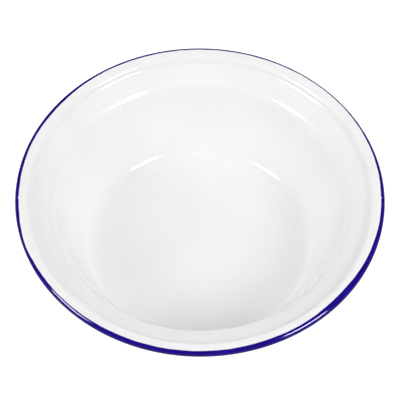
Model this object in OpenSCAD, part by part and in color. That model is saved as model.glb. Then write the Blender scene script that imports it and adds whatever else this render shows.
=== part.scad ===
// Enamelled steel basin: a pressed sheet with a stepped rim rolled over a wire, under fired enamel coats.
// Lengths are in millimetres. The basin stands on z = 0, with its axis on the z axis.

/* [Overall] */
// Outer diameter over the rolled rim
outer_d = 300; // [260:1:400]
// Height from the table to the top of the rim
basin_h = 76; // [55:1:130]

/* [Rolled rim] */
// Diameter of the wire inside the roll
wire_d = 4; // [2:0.1:8]
// Clearance between the wire and the sheet, and at the closing edge of the roll
roll_gap = 0.05; // [0.02:0.01:0.1]
// Angle past the top of the rim, outwards, where the blue enamel starts
blue_start = 5; // [1:1:120]
// Width of the flange, from the closed roll to the corner of the step
flange_w = 4.2; // [2:0.1:20]
// Slope of the flange, down towards the middle
flange_slope = 9; // [0:1:20]

/* [Step and shoulder] */
// Height of the step below the flange, between its corners
step_h = 4.6; // [3.4:0.1:15]
// Slope of the face of the step
step_slope = 60; // [45:1:70]
// Bending radius at the top of the step
step_top_round = 3; // [1.5:0.1:6]
// Bending radius at the foot of the step
step_foot_round = 7; // [1.5:0.1:11]
// Width of the sloping ledge between the step and the wall, between its corners
ledge_w = 17.2; // [11:0.1:40]
// Slope of the ledge, down towards the middle
ledge_slope = 23; // [5:0.5:35]
// Bending radius of the shoulder between the ledge and the wall
shoulder_round = 14; // [3:0.5:30]

/* [Wall and floor] */
// Diameter where the lines of the wall and the floor meet
base_d = 184; // [120:1:215]
// Bending radius between the floor and the wall
corner_round = 14; // [3:0.5:40]
// Angle by which the wall leans out at its foot and stands up at its top, against its straight line
wall_bow = 6; // [0:0.5:12]
// Width of the flat ring under the floor on which the basin stands
foot_w = 9; // [3:0.5:40]
// Rise of the middle of the floor above that ring
crown_h = 0.8; // [0:0.1:4]

/* [Thicknesses] */
// Thickness of the steel sheet
sheet_t = 0.7; // [0.4:0.05:1.2]
// Thickness of the dark ground enamel on the steel
ground_t = 0.1; // [0.05:0.01:0.2]
// Thickness of the white and blue enamel on the ground coat
cover_t = 0.25; // [0.1:0.01:0.5]

/* [Hidden] */
$fn = 180;

// Number of straight stretches along each part of the profile
crown_steps = 8;
bend_steps = 6;
corner_steps = 10;
wall_steps = 10;
lip_steps = 3;
roll_steps = 40;

// Length of each handle of the wall's curve, as a share of the wall's chord
wall_handle_share = 0.35;

// Distance from the middle of the sheet to the face of each layer
steel_face = sheet_t / 2;
ground_face = steel_face + ground_t;
cover_face = ground_face + cover_t;

// The roll: the middle of its sheet is a circle round the wire
roll_r = wire_d / 2 + roll_gap + steel_face;
roll_mid = [outer_d / 2 - roll_r - cover_face, basin_h - roll_r - cover_face];

// Unit vectors along a slope, outwards, and square to it, towards the inside of the basin
function along(slope) = [cos(slope), sin(slope)];
function square_to(slope) = [-sin(slope), cos(slope)];

// A profile line is a list of [radius, height, slope] along the middle of the sheet, from the axis outwards
function line_point(place, slope) = [place[0], place[1], slope];

// A face at a distance from the middle of the sheet, positive on the inside of the basin
function face_of(line, distance) = [for (p = line) [p[0], p[1]] + distance * square_to(p[2])];

function reversed(list) = [for (i = [len(list) - 1 : -1 : 0]) list[i]];

// Length of a corner that a bend of the given radius takes up on either side
function bend_reach(slope_in, slope_out, radius) = radius * tan(abs(slope_out - slope_in) / 2);

// A bend that rounds a corner of the profile
function bend(corner, slope_in, slope_out, radius, steps) =
    let (
        turn = sign(slope_out - slope_in),
        start = corner - bend_reach(slope_in, slope_out, radius) * along(slope_in),
        middle = start + turn * radius * square_to(slope_in)
    )
    [
        for (i = [0 : steps])
        let (slope = slope_in + (slope_out - slope_in) * i / steps)
        line_point(middle - turn * radius * square_to(slope), slope)
    ];

// A stretch of the roll between two slopes, which fall from the flange's, over the top and round the wire
function roll(slope_in, slope_out, steps) =
    [
        for (i = [0 : steps])
        let (slope = slope_in + (slope_out - slope_in) * i / steps)
        line_point(roll_mid + roll_r * square_to(slope), slope)
    ];

// The roll closes against the underside of the flange. For a layer's face these are the angle left open
// there, seen from the wire, the distance back along the flange, and the slope at which the roll ends.
function open_angle(distance, gap = 0) = acos((roll_r - distance - gap) / (roll_r + distance));
function seam_reach(distance, gap = 0) = (roll_r + distance) * sin(open_angle(distance, gap));
function roll_end(distance, gap = 0) = flange_slope - 360 + open_angle(distance, gap);

// Corners of the profile, along the middle of the sheet
roll_start = roll_mid + roll_r * square_to(flange_slope);
step_top = roll_start - (seam_reach(cover_face) + flange_w) * along(flange_slope);
step_foot = step_top - step_h / sin(step_slope) * along(step_slope);
shoulder = step_foot - ledge_w / cos(ledge_slope) * along(ledge_slope);
base_corner = [base_d / 2, cover_face];

// The wall's slope at its foot and at its top
wall_line = shoulder - base_corner;
wall_slope = atan2(wall_line[1], wall_line[0]);
wall_foot_slope = wall_slope - wall_bow;
wall_top_slope = wall_slope + wall_bow;

// The floor: a flat ring, and a low crown inside it
flat_r = base_d / 2 - bend_reach(0, wall_foot_slope, corner_round);
crown_r = flat_r - foot_w;
crown_line =
    [
        for (i = [0 : crown_steps])
        let (
            turn = 180 * i / crown_steps,
            rise = crown_h * (1 + cos(turn)) / 2,
            slope = -atan(crown_h * PI * sin(turn) / (2 * crown_r))
        )
        line_point([crown_r * i / crown_steps, base_corner[1] + rise], slope)
    ];

// The wall: a cubic curve between the bends at its foot and its top
wall_start = base_corner + bend_reach(0, wall_foot_slope, corner_round) * along(wall_foot_slope);
wall_end = shoulder - bend_reach(wall_top_slope, ledge_slope, shoulder_round) * along(wall_top_slope);
wall_handle = wall_handle_share * norm(wall_end - wall_start);
wall_knots =
    [
        wall_start,
        wall_start + wall_handle * along(wall_foot_slope),
        wall_end - wall_handle * along(wall_top_slope),
        wall_end
    ];

function mixed(a, b, t) = (1 - t) * a + t * b;
function between(knots, t) = [for (i = [1 : len(knots) - 1]) mixed(knots[i - 1], knots[i], t)];
function curve_point(t) =
    let (
        ends = between(between(wall_knots, t), t),
        way = ends[1] - ends[0]
    )
    line_point(mixed(ends[0], ends[1], t), atan2(way[1], way[0]));

wall_curve = [for (i = [1 : wall_steps - 1]) curve_point(i / wall_steps)];

// The whole sheet up to the flange
body_line =
    concat(
        crown_line,
        bend(base_corner, 0, wall_foot_slope, corner_round, corner_steps),
        wall_curve,
        bend(shoulder, wall_top_slope, ledge_slope, shoulder_round, corner_steps),
        bend(step_foot, ledge_slope, step_slope, step_foot_round, bend_steps),
        bend(step_top, step_slope, flange_slope, step_top_round, bend_steps)
    );

// The inner face of a layer, from the axis over the rim to just before the blue enamel starts
function inside_face(distance) =
    let (lip = face_of(roll(flange_slope, -blue_start, lip_steps), distance))
    concat(face_of(body_line, distance), [for (i = [0 : lip_steps - 1]) lip[i]]);

// The point of a layer's face where the blue enamel starts
function blue_edge(distance) = roll_mid + (roll_r + distance) * square_to(-blue_start);

// The outer face of a layer on the roll, from where the blue enamel starts to the closed seam
function rim_face(distance, gap = 0) =
    face_of(roll(-blue_start, roll_end(distance, gap), roll_steps), distance);

// The underside of a layer, from the axis to the start of the flange
function outside_face(distance) = face_of(body_line, -distance);

// The point of a layer's underside below the flange where its face on the roll ends
function under_flange(distance, gap = 0) =
    roll_start - seam_reach(distance, gap) * along(flange_slope) - distance * square_to(flange_slope);

module turned(outline) {
    rotate_extrude()
        polygon(outline);
}

// Pressed sheet with its rolled edge
module steel_shell() {
    roll_back = reversed(roll(flange_slope, roll_end(steel_face, roll_gap), roll_steps));
    color("dimgray")
        turned(concat(
            inside_face(steel_face),
            rim_face(steel_face, roll_gap),
            face_of(roll_back, -steel_face),
            reversed(outside_face(steel_face))
        ));
}

// Round wire that stiffens the rolled edge
module rim_wire() {
    color("silver")
        rotate_extrude()
            translate(roll_mid)
                circle(d = wire_d);
}

// Dark enamel fired onto the whole sheet first
module ground_coat() {
    color("midnightblue")
        turned(concat(
            inside_face(ground_face),
            rim_face(ground_face),
            reversed(outside_face(ground_face)),
            outside_face(steel_face),
            [under_flange(steel_face, roll_gap)],
            reversed(rim_face(steel_face, roll_gap)),
            reversed(inside_face(steel_face))
        ));
}

// White enamel from the middle of the floor to the top of the rim
module white_coat_inside() {
    color("white")
        turned(concat(
            inside_face(cover_face),
            [blue_edge(cover_face), blue_edge(ground_face)],
            reversed(inside_face(ground_face))
        ));
}

// White enamel under the floor and on the outer wall, up to the rolled edge
module white_coat_outside() {
    color("whitesmoke")
        turned(concat(
            outside_face(ground_face),
            [under_flange(ground_face), under_flange(cover_face)],
            reversed(outside_face(cover_face))
        ));
}

// Blue enamel round the rolled edge
module blue_rim_coat() {
    color("#271488")
        turned(concat(
            rim_face(cover_face),
            reversed(rim_face(ground_face))
        ));
}

steel_shell();
rim_wire();
ground_coat();
white_coat_inside();
white_coat_outside();
blue_rim_coat();
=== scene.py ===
# Enamelled steel basin: fired white enamel inside and out, and a hand-dipped blue enamel rim.
import math

import bmesh
import bpy
import numpy as np
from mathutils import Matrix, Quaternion, Vector


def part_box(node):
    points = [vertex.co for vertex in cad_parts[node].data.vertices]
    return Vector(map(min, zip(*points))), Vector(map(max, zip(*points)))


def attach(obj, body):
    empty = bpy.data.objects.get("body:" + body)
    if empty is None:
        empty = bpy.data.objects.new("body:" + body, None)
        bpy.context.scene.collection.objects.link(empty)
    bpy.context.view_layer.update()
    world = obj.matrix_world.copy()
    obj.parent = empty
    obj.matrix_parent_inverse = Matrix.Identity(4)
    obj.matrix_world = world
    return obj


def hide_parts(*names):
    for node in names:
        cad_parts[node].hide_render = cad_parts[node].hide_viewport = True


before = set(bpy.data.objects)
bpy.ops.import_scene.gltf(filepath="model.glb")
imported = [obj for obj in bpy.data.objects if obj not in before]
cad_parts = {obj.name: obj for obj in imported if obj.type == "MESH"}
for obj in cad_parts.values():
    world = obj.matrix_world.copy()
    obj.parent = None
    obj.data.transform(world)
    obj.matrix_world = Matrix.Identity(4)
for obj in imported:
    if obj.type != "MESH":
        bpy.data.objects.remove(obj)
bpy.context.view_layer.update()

MM = 0.001


def box_mm(node):
    """The low and high corners of a solid's box, in millimetres."""
    low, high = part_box(node)
    return np.array(low) / MM, np.array(high) / MM


# Overall sizes and thicknesses that the solids give, in millimetres
wire_low, wire_high = box_mm("rim_wire")
steel_low, steel_high = box_mm("steel_shell")
_, ground_high = box_mm("ground_coat")
inside_low, inside_high = box_mm("white_coat_inside")
_, blue_high = box_mm("blue_rim_coat")

outer_r = blue_high[0]
basin_h = inside_high[2]
cover_t = outer_r - ground_high[0]
ground_t = ground_high[0] - steel_high[0]
sheet_t = inside_low[2] - ground_t - steel_low[2]

# Distance from the middle of the sheet to the faces of the ground coat and of the cover coats
ground_face = sheet_t / 2 + ground_t
cover_face = ground_face + cover_t

# The rolled rim is a round bead: its middle, the radius of its face and of the middle of its sheet
bead_z = (wire_low[2] + wire_high[2]) / 2
bead_r = basin_h - bead_z
bead_mid = np.array([outer_r - bead_r, bead_z])
roll_r = bead_r - cover_face

# Shape of the pressed sheet: lengths in millimetres, slopes in radians
flange_w = 4.2
flange_slope = math.radians(9)
step_h = 4.6
step_slope = math.radians(60)
step_top_round = 3
step_foot_round = 7
ledge_w = 17.2
ledge_slope = math.radians(23)
shoulder_round = 14
base_r = 92
corner_round = 14
wall_bow = math.radians(6)
wall_handle_share = 0.35
foot_w = 9
crown_h = 0.8

# Fineness of the profile: turn between points of a bend, longest straight stretch in millimetres,
# a length that counts as none, and rows of a coat's face for each row of its hidden back
BEND_STEP = math.radians(4)
LONGEST_STRETCH = 3.0
NO_LENGTH = 1e-6
BACK_SKIP = 4
# Degrees between the columns of the meshes, everywhere and within a reach of each break in the blue edge,
# and the decimals that tell two columns apart
COLUMN_STEP = 1.0
NOTCH_COLUMN_STEP = 0.25
NOTCH_COLUMN_REACH = 1.5
COLUMN_DECIMALS = 4

# The blue enamel's inner edge, as angles on the bead: 90 is its top, more reaches further inwards.
# Each wave is the azimuth of its middle, the rise of the edge there and the wave's half width, in degrees.
BLUE_EDGE_ANGLE = 87
BLUE_EDGE_WAVES = (
    (0, 6, 6),
    (40, -14, 20),
    (110, 4, 14),
    (144, 14, 14),
    (170, 4, 7),
    (180, 5, 10),
    (200, -20, 8),
    (216, -4, 7),
    (242, 4, 9),
    (291, 6, 8),
    (310, 14, 30),
    (320, 24, 13),
    (342, 7, 8),
)
# Each ripple is a count around, a rise in degrees and a start in radians
BLUE_EDGE_RIPPLES = ((37, 1.0, 0.4), (61, 0.7, 1.9), (97, 0.5, 3.1))
# Small breaks in the edge, where white shows: azimuth, depth in degrees on the bead, half width in degrees
BLUE_EDGE_NOTCHES = ((359.3, 16, 0.3), (182.2, 10, 0.5))

# How far the white enamel thins out towards the blue edge, and over which length, in millimetres
WHITE_DIP = 0.06
WHITE_DIP_REACH = 1.2
# Length of the round at the blue edge, in millimetres, and the share of the coat's thickness where it starts
BLUE_ROUND = 0.18
BLUE_EDGE_SHARE = 0.45

# Slow unevenness of the fired surface, which only thins the coat: its depth in millimetres, and its waves.
# Each wave is a count around, a turn in radians per millimetre along the profile, and a start in radians.
UNEVEN_DEPTH = 0.02
UNEVEN_WAVES = ((5, 0.055, 0.3), (9, -0.08, 1.7), (14, 0.12, 4.1))


def along(slope):
    return np.array([math.cos(slope), math.sin(slope)])


def square_to(slope):
    return np.array([-math.sin(slope), math.cos(slope)])


def line_rows(places, slopes):
    """Rows of radius, height and slope along the middle of the sheet, from the axis outwards."""
    return [np.array([place[0], place[1], slope]) for place, slope in zip(places, slopes)]


def bend_reach(slope_in, slope_out, radius):
    """Length of a corner that a bend takes up on either side."""
    return radius * math.tan(abs(slope_out - slope_in) / 2)


def bend(corner, slope_in, slope_out, radius):
    turn = math.copysign(1, slope_out - slope_in)
    start = corner - bend_reach(slope_in, slope_out, radius) * along(slope_in)
    middle = start + turn * radius * square_to(slope_in)
    steps = math.ceil(abs(slope_out - slope_in) / BEND_STEP)
    slopes = np.linspace(slope_in, slope_out, steps + 1)
    return line_rows([middle - turn * radius * square_to(s) for s in slopes], slopes)


def refined(rows, longest):
    """Adds rows on the straight stretches that are longer than the given length."""
    result = [rows[0]]
    for before, after in zip(rows, rows[1:]):
        length = math.hypot(after[0] - before[0], after[1] - before[1])
        if length < NO_LENGTH:
            continue
        steps = max(1, math.ceil(length / longest))
        for i in range(1, steps + 1):
            result.append(before + (after - before) * i / steps)
    return result


def open_angle(distance):
    """Angle left open where a layer's face on the roll meets the underside of the flange."""
    return math.acos((roll_r - distance) / (roll_r + distance))


def seam_reach(distance):
    return (roll_r + distance) * math.sin(open_angle(distance))


def roll_end(distance):
    return flange_slope - 2 * math.pi + open_angle(distance)


# Corners of the profile, along the middle of the sheet
roll_start = bead_mid + roll_r * square_to(flange_slope)
step_top = roll_start - (seam_reach(cover_face) + flange_w) * along(flange_slope)
step_foot = step_top - step_h / math.sin(step_slope) * along(step_slope)
shoulder = step_foot - ledge_w / math.cos(ledge_slope) * along(ledge_slope)
base_corner = np.array([base_r, cover_face])

wall_slope = math.atan2(shoulder[1] - base_corner[1], shoulder[0] - base_corner[0])
wall_foot_slope = wall_slope - wall_bow
wall_top_slope = wall_slope + wall_bow
flat_r = base_r - bend_reach(0, wall_foot_slope, corner_round)
crown_r = flat_r - foot_w


def crown_rows():
    steps = math.ceil(crown_r / LONGEST_STRETCH)
    places = []
    slopes = []
    for i in range(steps + 1):
        turn = math.pi * i / steps
        places.append([crown_r * i / steps, cover_face + crown_h * (1 + math.cos(turn)) / 2])
        slopes.append(-math.atan(crown_h * math.pi * math.sin(turn) / (2 * crown_r)))
    return line_rows(places, slopes)


def wall_rows():
    start = base_corner + bend_reach(0, wall_foot_slope, corner_round) * along(wall_foot_slope)
    end = shoulder - bend_reach(wall_top_slope, ledge_slope, shoulder_round) * along(wall_top_slope)
    handle = wall_handle_share * np.linalg.norm(end - start)
    first = start + handle * along(wall_foot_slope)
    second = end - handle * along(wall_top_slope)
    steps = math.ceil(np.linalg.norm(end - start) / LONGEST_STRETCH)
    places = []
    slopes = []
    for i in range(1, steps):
        t = i / steps
        u = 1 - t
        places.append(u**3 * start + 3 * u * u * t * first + 3 * u * t * t * second + t**3 * end)
        way = u * u * (first - start) + 2 * u * t * (second - first) + t * t * (end - second)
        slopes.append(math.atan2(way[1], way[0]))
    return line_rows(places, slopes)


body_rows = refined(
    crown_rows()
    + bend(base_corner, 0, wall_foot_slope, corner_round)
    + wall_rows()
    + bend(shoulder, wall_top_slope, ledge_slope, shoulder_round)
    + bend(step_foot, ledge_slope, step_slope, step_foot_round)
    + bend(step_top, step_slope, flange_slope, step_top_round),
    LONGEST_STRETCH,
)


def offset(row, distance):
    """The point of a face at a distance from the middle of the sheet, positive on the inside of the basin."""
    return row[:2] + distance * square_to(row[2])


def rim_point(slope, distance):
    """A point on the bead, or on the flange for slopes past its own, at the same length of face per turn."""
    if slope <= flange_slope:
        return bead_mid + (roll_r + distance) * square_to(slope)
    start = roll_start + distance * square_to(flange_slope)
    return start - bead_r * (slope - flange_slope) * along(flange_slope)


def column_azimuths():
    """Azimuths of the meshes' columns: even turns, with finer ones at the breaks in the blue edge."""
    turns = set(np.arange(0, 360, COLUMN_STEP).round(COLUMN_DECIMALS))
    for azimuth, _, _ in BLUE_EDGE_NOTCHES:
        fine = np.arange(-NOTCH_COLUMN_REACH, NOTCH_COLUMN_REACH + NOTCH_COLUMN_STEP, NOTCH_COLUMN_STEP)
        turns |= set(((azimuth + fine) % 360).round(COLUMN_DECIMALS))
    return np.array(sorted(turns))


columns = column_azimuths()


def turn_between(a, b):
    return (a - b + 180) % 360 - 180


def blue_edge_slope(azimuth):
    """Slope of the sheet where the blue enamel starts, at an azimuth in degrees."""
    angle = BLUE_EDGE_ANGLE
    for middle, rise, half_width in BLUE_EDGE_WAVES:
        angle += rise * math.exp(-((turn_between(azimuth, middle) / half_width) ** 2))
    for count, rise, start in BLUE_EDGE_RIPPLES:
        angle += rise * math.sin(count * math.radians(azimuth) + start)
    for middle, depth, half_width in BLUE_EDGE_NOTCHES:
        angle -= depth * math.exp(-((turn_between(azimuth, middle) / half_width) ** 2))
    return math.radians(angle - 90)


def unevenness(azimuth, travel):
    """Share of the unevenness, from 0 to 1, at an azimuth in degrees and a travel in millimetres."""
    total = 0
    for count, pitch, start in UNEVEN_WAVES:
        total += math.sin(count * math.radians(azimuth) + pitch * travel + start)
    return (total / len(UNEVEN_WAVES) + 1) / 2


def coat_face(row, azimuth, travel, side):
    thinner = UNEVEN_DEPTH * unevenness(azimuth, travel)
    return offset(row, side * (cover_face - thinner))


def travels(rows):
    steps = [math.hypot(b[0] - a[0], b[1] - a[1]) for a, b in zip(rows, rows[1:])]
    return np.concatenate([[0], np.cumsum(steps)])


body_travel = travels(body_rows)
# The lip of the white enamel runs from the flange to the blue edge
LIP_TURN = math.radians(60)
LIP_STEPS = 24
lip_start = flange_slope + LIP_TURN


def inside_outline(azimuth):
    """White enamel inside: from the axis up to the blue edge, and back along the ground coat."""
    edge = blue_edge_slope(azimuth)
    face = [coat_face(row, azimuth, t, 1) for row, t in zip(body_rows, body_travel)]
    thinner = UNEVEN_DEPTH * unevenness(azimuth, body_travel[-1])
    for i in range(LIP_STEPS + 1):
        slope = lip_start + (edge - lip_start) * i / LIP_STEPS
        left = bead_r * abs(slope - edge)
        dip = WHITE_DIP * max(0.0, 1 - left / WHITE_DIP_REACH) ** 2
        face.append(rim_point(slope, cover_face - max(dip, thinner)))
    back_steps = LIP_STEPS // BACK_SKIP
    back = [
        rim_point(edge + (lip_start - edge) * i / back_steps, ground_face)
        for i in range(back_steps + 1)
    ]
    back += [offset(row, ground_face) for row in body_rows[::-BACK_SKIP]]
    if back[-1][0] > NO_LENGTH:
        back.append(offset(body_rows[0], ground_face))
    return face + back


def seam_point(distance):
    return roll_start - seam_reach(distance) * along(flange_slope) - distance * square_to(flange_slope)


def outside_outline(azimuth):
    """White enamel outside: from the axis under the floor up to the seam, and back along the ground coat."""
    face = [coat_face(row, azimuth, t, -1) for row, t in zip(body_rows, body_travel)]
    for i, row in enumerate(body_rows):
        if face[i][1] < 0 or crown_r <= row[0] <= flat_r:
            face[i] = offset(row, -cover_face)
    face.append(seam_point(cover_face))
    back = [seam_point(ground_face)]
    back += [offset(row, -ground_face) for row in body_rows[::-BACK_SKIP]]
    if back[-1][0] > NO_LENGTH:
        back.append(offset(body_rows[0], -ground_face))
    return face + back


ROLL_STEPS = 84
EDGE_ROUND_STEPS = 5


def blue_outline(azimuth):
    """Blue enamel: round the bead from its wavy edge to the seam, and back along the ground coat."""
    edge = blue_edge_slope(azimuth)
    end = roll_end(cover_face)
    round_turn = BLUE_ROUND / bead_r
    face = []
    for i in range(EDGE_ROUND_STEPS):
        share = i / EDGE_ROUND_STEPS
        height = BLUE_EDGE_SHARE + (1 - BLUE_EDGE_SHARE) * math.sqrt(1 - (1 - share) ** 2)
        face.append(rim_point(edge - round_turn * share, ground_face + cover_t * height))
    for i in range(ROLL_STEPS + 1):
        slope = edge - round_turn + (end - edge + round_turn) * i / ROLL_STEPS
        face.append(rim_point(slope, cover_face))
    back_end = roll_end(ground_face)
    back_steps = ROLL_STEPS // BACK_SKIP
    back = [
        rim_point(back_end + (edge - back_end) * i / back_steps, ground_face)
        for i in range(back_steps + 1)
    ]
    return face + back


SHARP_ANGLE = math.radians(40)


def turned_piece(name, outline, closed):
    """A mesh turned about the axis, with its outline taken at each column. An open one ends on the axis."""
    lines = [outline(azimuth) for azimuth in columns]
    count = len(lines[0])
    mesh_shape = bmesh.new()
    ends = () if closed else (0, count - 1)
    poles = {i: mesh_shape.verts.new((0, 0, lines[0][i][1] * MM)) for i in ends}
    grid = []
    for i in range(count):
        ring = []
        for azimuth, line in zip(columns, lines):
            if i in poles:
                ring.append(poles[i])
                continue
            turn = math.radians(azimuth)
            radius, height = line[i]
            place = (radius * math.cos(turn) * MM, radius * math.sin(turn) * MM, height * MM)
            ring.append(mesh_shape.verts.new(place))
        grid.append(ring)
    last = count if closed else count - 1
    for i in range(last):
        lower = grid[i]
        upper = grid[(i + 1) % count]
        for k in range(len(columns)):
            following = (k + 1) % len(columns)
            corners = [lower[k], lower[following], upper[following], upper[k]]
            corners = list(dict.fromkeys(corners))
            mesh_shape.faces.new(corners)
    bmesh.ops.recalc_face_normals(mesh_shape, faces=mesh_shape.faces)
    mesh = bpy.data.meshes.new(name)
    mesh_shape.to_mesh(mesh)
    mesh_shape.free()
    mesh.shade_smooth()
    mesh.set_sharp_from_angle(angle=SHARP_ANGLE)
    piece = bpy.data.objects.new(name, mesh)
    bpy.context.scene.collection.objects.link(piece)
    return piece


# Materials


def new_material(name):
    material = bpy.data.materials.new(name)
    material.use_nodes = True
    nodes = material.node_tree.nodes
    return material, nodes, material.node_tree.links, nodes["Principled BSDF"]


def noise(nodes, links, scale, detail, stretch=None):
    """Noise over the object's own metres, with a pitch of about one over the scale."""
    place = nodes.new("ShaderNodeTexCoord").outputs["Object"]
    if stretch:
        mapping = nodes.new("ShaderNodeMapping")
        mapping.inputs["Scale"].default_value = stretch
        links.new(place, mapping.inputs["Vector"])
        place = mapping.outputs["Vector"]
    texture = nodes.new("ShaderNodeTexNoise")
    texture.inputs["Scale"].default_value = scale
    texture.inputs["Detail"].default_value = detail
    links.new(place, texture.inputs["Vector"])
    return texture.outputs["Fac"]


# The middle stretch of a noise, over which colours and values change
COLOUR_SPAN = (0.35, 0.65)
VALUE_SPAN = (0.3, 0.7)


def colour_between(nodes, links, factor, dark, light):
    ramp = nodes.new("ShaderNodeValToRGB")
    for stop, position, colour in zip(ramp.color_ramp.elements, COLOUR_SPAN, (dark, light)):
        stop.position = position
        stop.color = (*colour, 1)
    links.new(factor, ramp.inputs["Fac"])
    return ramp.outputs["Color"]


def value_between(nodes, links, factor, limits):
    ranged = nodes.new("ShaderNodeMapRange")
    ranged.inputs["From Min"].default_value = VALUE_SPAN[0]
    ranged.inputs["From Max"].default_value = VALUE_SPAN[1]
    ranged.inputs["To Min"].default_value = limits[0]
    ranged.inputs["To Max"].default_value = limits[1]
    links.new(factor, ranged.inputs["Value"])
    return ranged.outputs["Result"]


def bumped(nodes, links, factor, strength, distance):
    bump = nodes.new("ShaderNodeBump")
    bump.inputs["Strength"].default_value = strength
    bump.inputs["Distance"].default_value = distance
    links.new(factor, bump.inputs["Height"])
    return bump.outputs["Normal"]


ENAMEL_IOR = 1.5
CLOUD_DETAIL = 3
# The gloss changes this many times as often along a line as the clouds do
GLOSS_PER_CLOUD = 3
GLOSS_DETAIL = 2
# Orange peel: bumps for each metre, and their depth in metres
PEEL_SCALE = 260
PEEL_DETAIL = 1
PEEL_STRENGTH = 0.25
PEEL_DEPTH = 0.00002


def enamel(name, dark, light, cloud_scale, roughness):
    """Fired enamel: slow clouding, gloss that varies a little, and a fine orange peel."""
    material, nodes, links, shader = new_material(name)
    clouds = noise(nodes, links, cloud_scale, CLOUD_DETAIL)
    links.new(colour_between(nodes, links, clouds, dark, light), shader.inputs["Base Color"])
    gloss = noise(nodes, links, GLOSS_PER_CLOUD * cloud_scale, GLOSS_DETAIL)
    links.new(value_between(nodes, links, gloss, roughness), shader.inputs["Roughness"])
    peel = noise(nodes, links, PEEL_SCALE, PEEL_DETAIL)
    links.new(bumped(nodes, links, peel, PEEL_STRENGTH, PEEL_DEPTH), shader.inputs["Normal"])
    shader.inputs["IOR"].default_value = ENAMEL_IOR
    return material


STEEL_LINE_SCALE = 60
STEEL_LINE_DETAIL = 4
STEEL_ROUGHNESS = (0.3, 0.5)


def steel(name, dark, light, stretch):
    """Bare steel with fine lines along the way it was worked."""
    material, nodes, links, shader = new_material(name)
    lines = noise(nodes, links, STEEL_LINE_SCALE, STEEL_LINE_DETAIL, stretch)
    links.new(colour_between(nodes, links, lines, dark, light), shader.inputs["Base Color"])
    links.new(value_between(nodes, links, lines, STEEL_ROUGHNESS), shader.inputs["Roughness"])
    shader.inputs["Metallic"].default_value = 1.0
    return material


def use_material(piece, material):
    piece.data.materials.clear()
    piece.data.materials.append(material)


white_inside = enamel(
    "white_enamel",
    dark=(0.838, 0.838, 0.838),
    light=(0.856, 0.856, 0.856),
    cloud_scale=22,
    roughness=(0.1, 0.14),
)
white_outside = enamel(
    "outside_enamel",
    dark=(0.815, 0.815, 0.815),
    light=(0.835, 0.835, 0.835),
    cloud_scale=22,
    roughness=(0.08, 0.13),
)
blue = enamel(
    "blue_enamel",
    dark=(0.0095, 0.0015, 0.185),
    light=(0.0145, 0.0035, 0.25),
    cloud_scale=90,
    roughness=(0.05, 0.08),
)
ground = enamel(
    "ground_enamel",
    dark=(0.012, 0.012, 0.03),
    light=(0.03, 0.03, 0.07),
    cloud_scale=200,
    roughness=(0.25, 0.4),
)
sheet_steel = steel("bare_steel", dark=(0.3, 0.3, 0.31), light=(0.42, 0.42, 0.43), stretch=(1, 1, 12))
wire_steel = steel("wire_steel", dark=(0.48, 0.48, 0.49), light=(0.62, 0.62, 0.63), stretch=(1, 1, 30))

# Pieces: the visible coats are modelled finely, and the hidden solids stay as they are

PIECES = (
    ("inside_enamel", "white_coat_inside", "white_enamel", inside_outline, False, white_inside),
    ("outside_enamel", "white_coat_outside", "outside_enamel", outside_outline, False, white_outside),
    ("rim_enamel", "blue_rim_coat", "blue_enamel", blue_outline, True, blue),
)
for name, node, slot, outline, closed, material in PIECES:
    piece = turned_piece(name, outline, closed)
    use_material(piece, material)
    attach(piece, "root")
    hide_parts(node)

for node, material in (("steel_shell", sheet_steel), ("rim_wire", wire_steel), ("ground_coat", ground)):
    use_material(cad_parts[node], material)

# Studio: a floor and a room that show as white, a dim even light and soft lamps

# Half the width of the floor, in metres, and its grey
FLOOR_REACH = 3.0
FLOOR_COLOUR = 0.45
# How far the camera's own rays see the floor lifted to white. They see the room as plain white.
SEEN_GLOW = 0.85
WHITE_ROOM = 1.0
# What mirrored rays see of that lift on the floor, outside a painted shade round the basin, and of the room.
# The painted shade thins out between two distances from the axis, in metres.
MIRRORED_GLOW = 0.2
SHADE_FADE = (0.3, 1.5)
MIRRORED_ROOM = 0.05
# The even light of the room on everything
SURROUND = 0.26


def shade_fade(nodes, links):
    """The lift to white that mirrored rays see on the floor: none near the basin, more further away, a
    painted shade round the basin in the gloss.
    """
    place = nodes.new("ShaderNodeTexCoord").outputs["Object"]
    distance = nodes.new("ShaderNodeVectorMath")
    distance.operation = "LENGTH"
    links.new(place, distance.inputs[0])
    fade = nodes.new("ShaderNodeMapRange")
    fade.interpolation_type = "SMOOTHSTEP"
    fade.inputs["From Min"].default_value = SHADE_FADE[0]
    fade.inputs["From Max"].default_value = SHADE_FADE[1]
    fade.inputs["To Min"].default_value = 0
    fade.inputs["To Max"].default_value = MIRRORED_GLOW
    links.new(distance.outputs["Value"], fade.inputs["Value"])
    return fade.outputs["Result"]


def background_rays(nodes, links, seen):
    """A node for what mirrored rays and rays through glass see, and the strength with the camera's on top."""
    path = nodes.new("ShaderNodeLightPath")
    indirect = nodes.new("ShaderNodeMath")
    indirect.operation = "MAXIMUM"
    links.new(path.outputs["Is Glossy Ray"], indirect.inputs[0])
    links.new(path.outputs["Is Transmission Ray"], indirect.inputs[1])
    mirrored = nodes.new("ShaderNodeMath")
    mirrored.operation = "MULTIPLY_ADD"
    links.new(indirect.outputs["Value"], mirrored.inputs[0])
    total = nodes.new("ShaderNodeMath")
    total.operation = "MULTIPLY_ADD"
    links.new(path.outputs["Is Camera Ray"], total.inputs[0])
    total.inputs[1].default_value = seen
    links.new(mirrored.outputs["Value"], total.inputs[2])
    return mirrored, total.outputs["Value"]


def floor_glow(nodes, links):
    mirrored, strength = background_rays(nodes, links, SEEN_GLOW)
    # The lift that mirrored rays see carries a painted shade round the basin
    links.new(shade_fade(nodes, links), mirrored.inputs[1])
    mirrored.inputs[2].default_value = 0
    return strength


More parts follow.
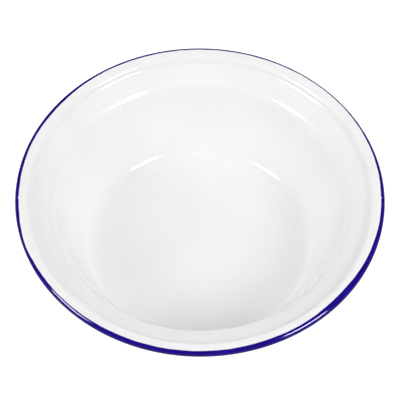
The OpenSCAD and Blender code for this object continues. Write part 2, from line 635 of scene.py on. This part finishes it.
def floor():
    """A matt floor that keeps the shadow, and that the background rays see lifted to white."""
    reach = FLOOR_REACH
    mesh = bpy.data.meshes.new("floor")
    corners = [(-reach, -reach, 0), (reach, -reach, 0), (reach, reach, 0), (-reach, reach, 0)]
    mesh.from_pydata(corners, [], [(0, 1, 2, 3)])
    plane = bpy.data.objects.new("floor", mesh)
    bpy.context.scene.collection.objects.link(plane)
    material = bpy.data.materials.new("floor")
    material.use_nodes = True
    nodes = material.node_tree.nodes
    links = material.node_tree.links
    nodes.clear()
    matt = nodes.new("ShaderNodeBsdfDiffuse")
    matt.inputs["Color"].default_value = (FLOOR_COLOUR, FLOOR_COLOUR, FLOOR_COLOUR, 1)
    glow = nodes.new("ShaderNodeEmission")
    links.new(floor_glow(nodes, links), glow.inputs["Strength"])
    both = nodes.new("ShaderNodeAddShader")
    links.new(matt.outputs["BSDF"], both.inputs[0])
    links.new(glow.outputs["Emission"], both.inputs[1])
    output = nodes.new("ShaderNodeOutputMaterial")
    links.new(both.outputs["Shader"], output.inputs["Surface"])
    mesh.materials.append(material)


def surround():
    """A room that shows as white, gives a dim even light and is dimmer still in the gloss."""
    world = bpy.data.worlds.new("surround")
    bpy.context.scene.world = world
    world.use_nodes = True
    nodes = world.node_tree.nodes
    links = world.node_tree.links
    mirrored, strength = background_rays(nodes, links, WHITE_ROOM - SURROUND)
    mirrored.inputs[1].default_value = MIRRORED_ROOM - SURROUND
    mirrored.inputs[2].default_value = SURROUND
    background = nodes["Background"]
    background.inputs["Color"].default_value = (1, 1, 1, 1)
    links.new(strength, background.inputs["Strength"])


aim = Vector((0, 0, bead_z * MM))


def direction(azimuth, elevation):
    """A unit vector: azimuth 0 is to the right, 90 to the back."""
    turn = math.radians(azimuth)
    rise = math.radians(elevation)
    return Vector((math.cos(rise) * math.cos(turn), math.cos(rise) * math.sin(turn), math.sin(rise)))


def soft_lamp(name, azimuth, elevation, distance, size, power, seen_in_gloss):
    """A lamp aimed at the middle of the rim, which the gloss mirrors or which gives light, but not both."""
    lamp = bpy.data.lights.new(name, "AREA")
    lamp.shape = "RECTANGLE"
    lamp.size, lamp.size_y = size
    lamp.energy = power
    holder = bpy.data.objects.new(name, lamp)
    bpy.context.scene.collection.objects.link(holder)
    way = direction(azimuth, elevation)
    holder.location = aim + distance * way
    holder.rotation_euler = (-way).to_track_quat("-Z", "Y").to_euler()
    holder.visible_camera = False
    holder.visible_glossy = seen_in_gloss
    holder.visible_diffuse = not seen_in_gloss


# Name, azimuth and elevation in degrees, distance, width and height in metres, watts.
# These give the light and shade.
LAMPS = (
    ("front_lamp", 270, 65, 1.6, (0.56, 0.36), 6.7),
    ("right_lamp", 325, 38, 1.6, (0.9, 0.55), 10),
    ("left_lamp", 210, 31, 1.6, (0.56, 0.55), 8),
    ("back_lamp", 92, 65, 1.6, (1.2, 0.36), 3.5),
    ("right_side_lamp", 25, 22, 1.6, (1.3, 0.36), 4),
    ("left_side_lamp", 152, 24, 1.6, (1.4, 0.4), 4),
)
# These are the softboxes that the gloss mirrors
MIRRORED_LAMPS = (
    ("left_softbox", 202.5, 37, 0.55, (0.16, 0.14), 2),
    ("right_softbox", 324, 37.5, 0.55, (0.17, 0.14), 2.5),
)

floor()
surround()
for lamp in LAMPS:
    soft_lamp(*lamp, seen_in_gloss=False)
for lamp in MIRRORED_LAMPS:
    soft_lamp(*lamp, seen_in_gloss=True)

# Camera: the photograph's angle, with the rim's middle at its pixel in the 400 by 400 frame
# Angles are in degrees, the distance in metres, the sensor's width in millimetres
FRAME_PIXELS = 400
CAMERA_AZIMUTH = 270
CAMERA_ELEVATION = 56.1
CAMERA_ROLL = 0.6
CAMERA_DISTANCE = 1.875
FOCAL_PIXELS = 2309.5
RIM_MIDDLE_PIXEL = (200.0, 195.85)
SENSOR_WIDTH = 36

camera = bpy.data.cameras.new("camera")
camera.sensor_width = SENSOR_WIDTH
camera.lens = FOCAL_PIXELS * SENSOR_WIDTH / FRAME_PIXELS
camera.shift_x = (FRAME_PIXELS / 2 - RIM_MIDDLE_PIXEL[0]) / FRAME_PIXELS
camera.shift_y = (RIM_MIDDLE_PIXEL[1] - FRAME_PIXELS / 2) / FRAME_PIXELS
camera_holder = bpy.data.objects.new("camera", camera)
bpy.context.scene.collection.objects.link(camera_holder)
camera_way = direction(CAMERA_AZIMUTH, CAMERA_ELEVATION)
camera_holder.location = aim + CAMERA_DISTANCE * camera_way
roll = Quaternion((0, 0, 1), math.radians(CAMERA_ROLL))
camera_holder.rotation_euler = ((-camera_way).to_track_quat("-Z", "Y") @ roll).to_euler()
bpy.context.scene.camera = camera_holder

bpy.context.scene.view_settings.view_transform = "Standard"
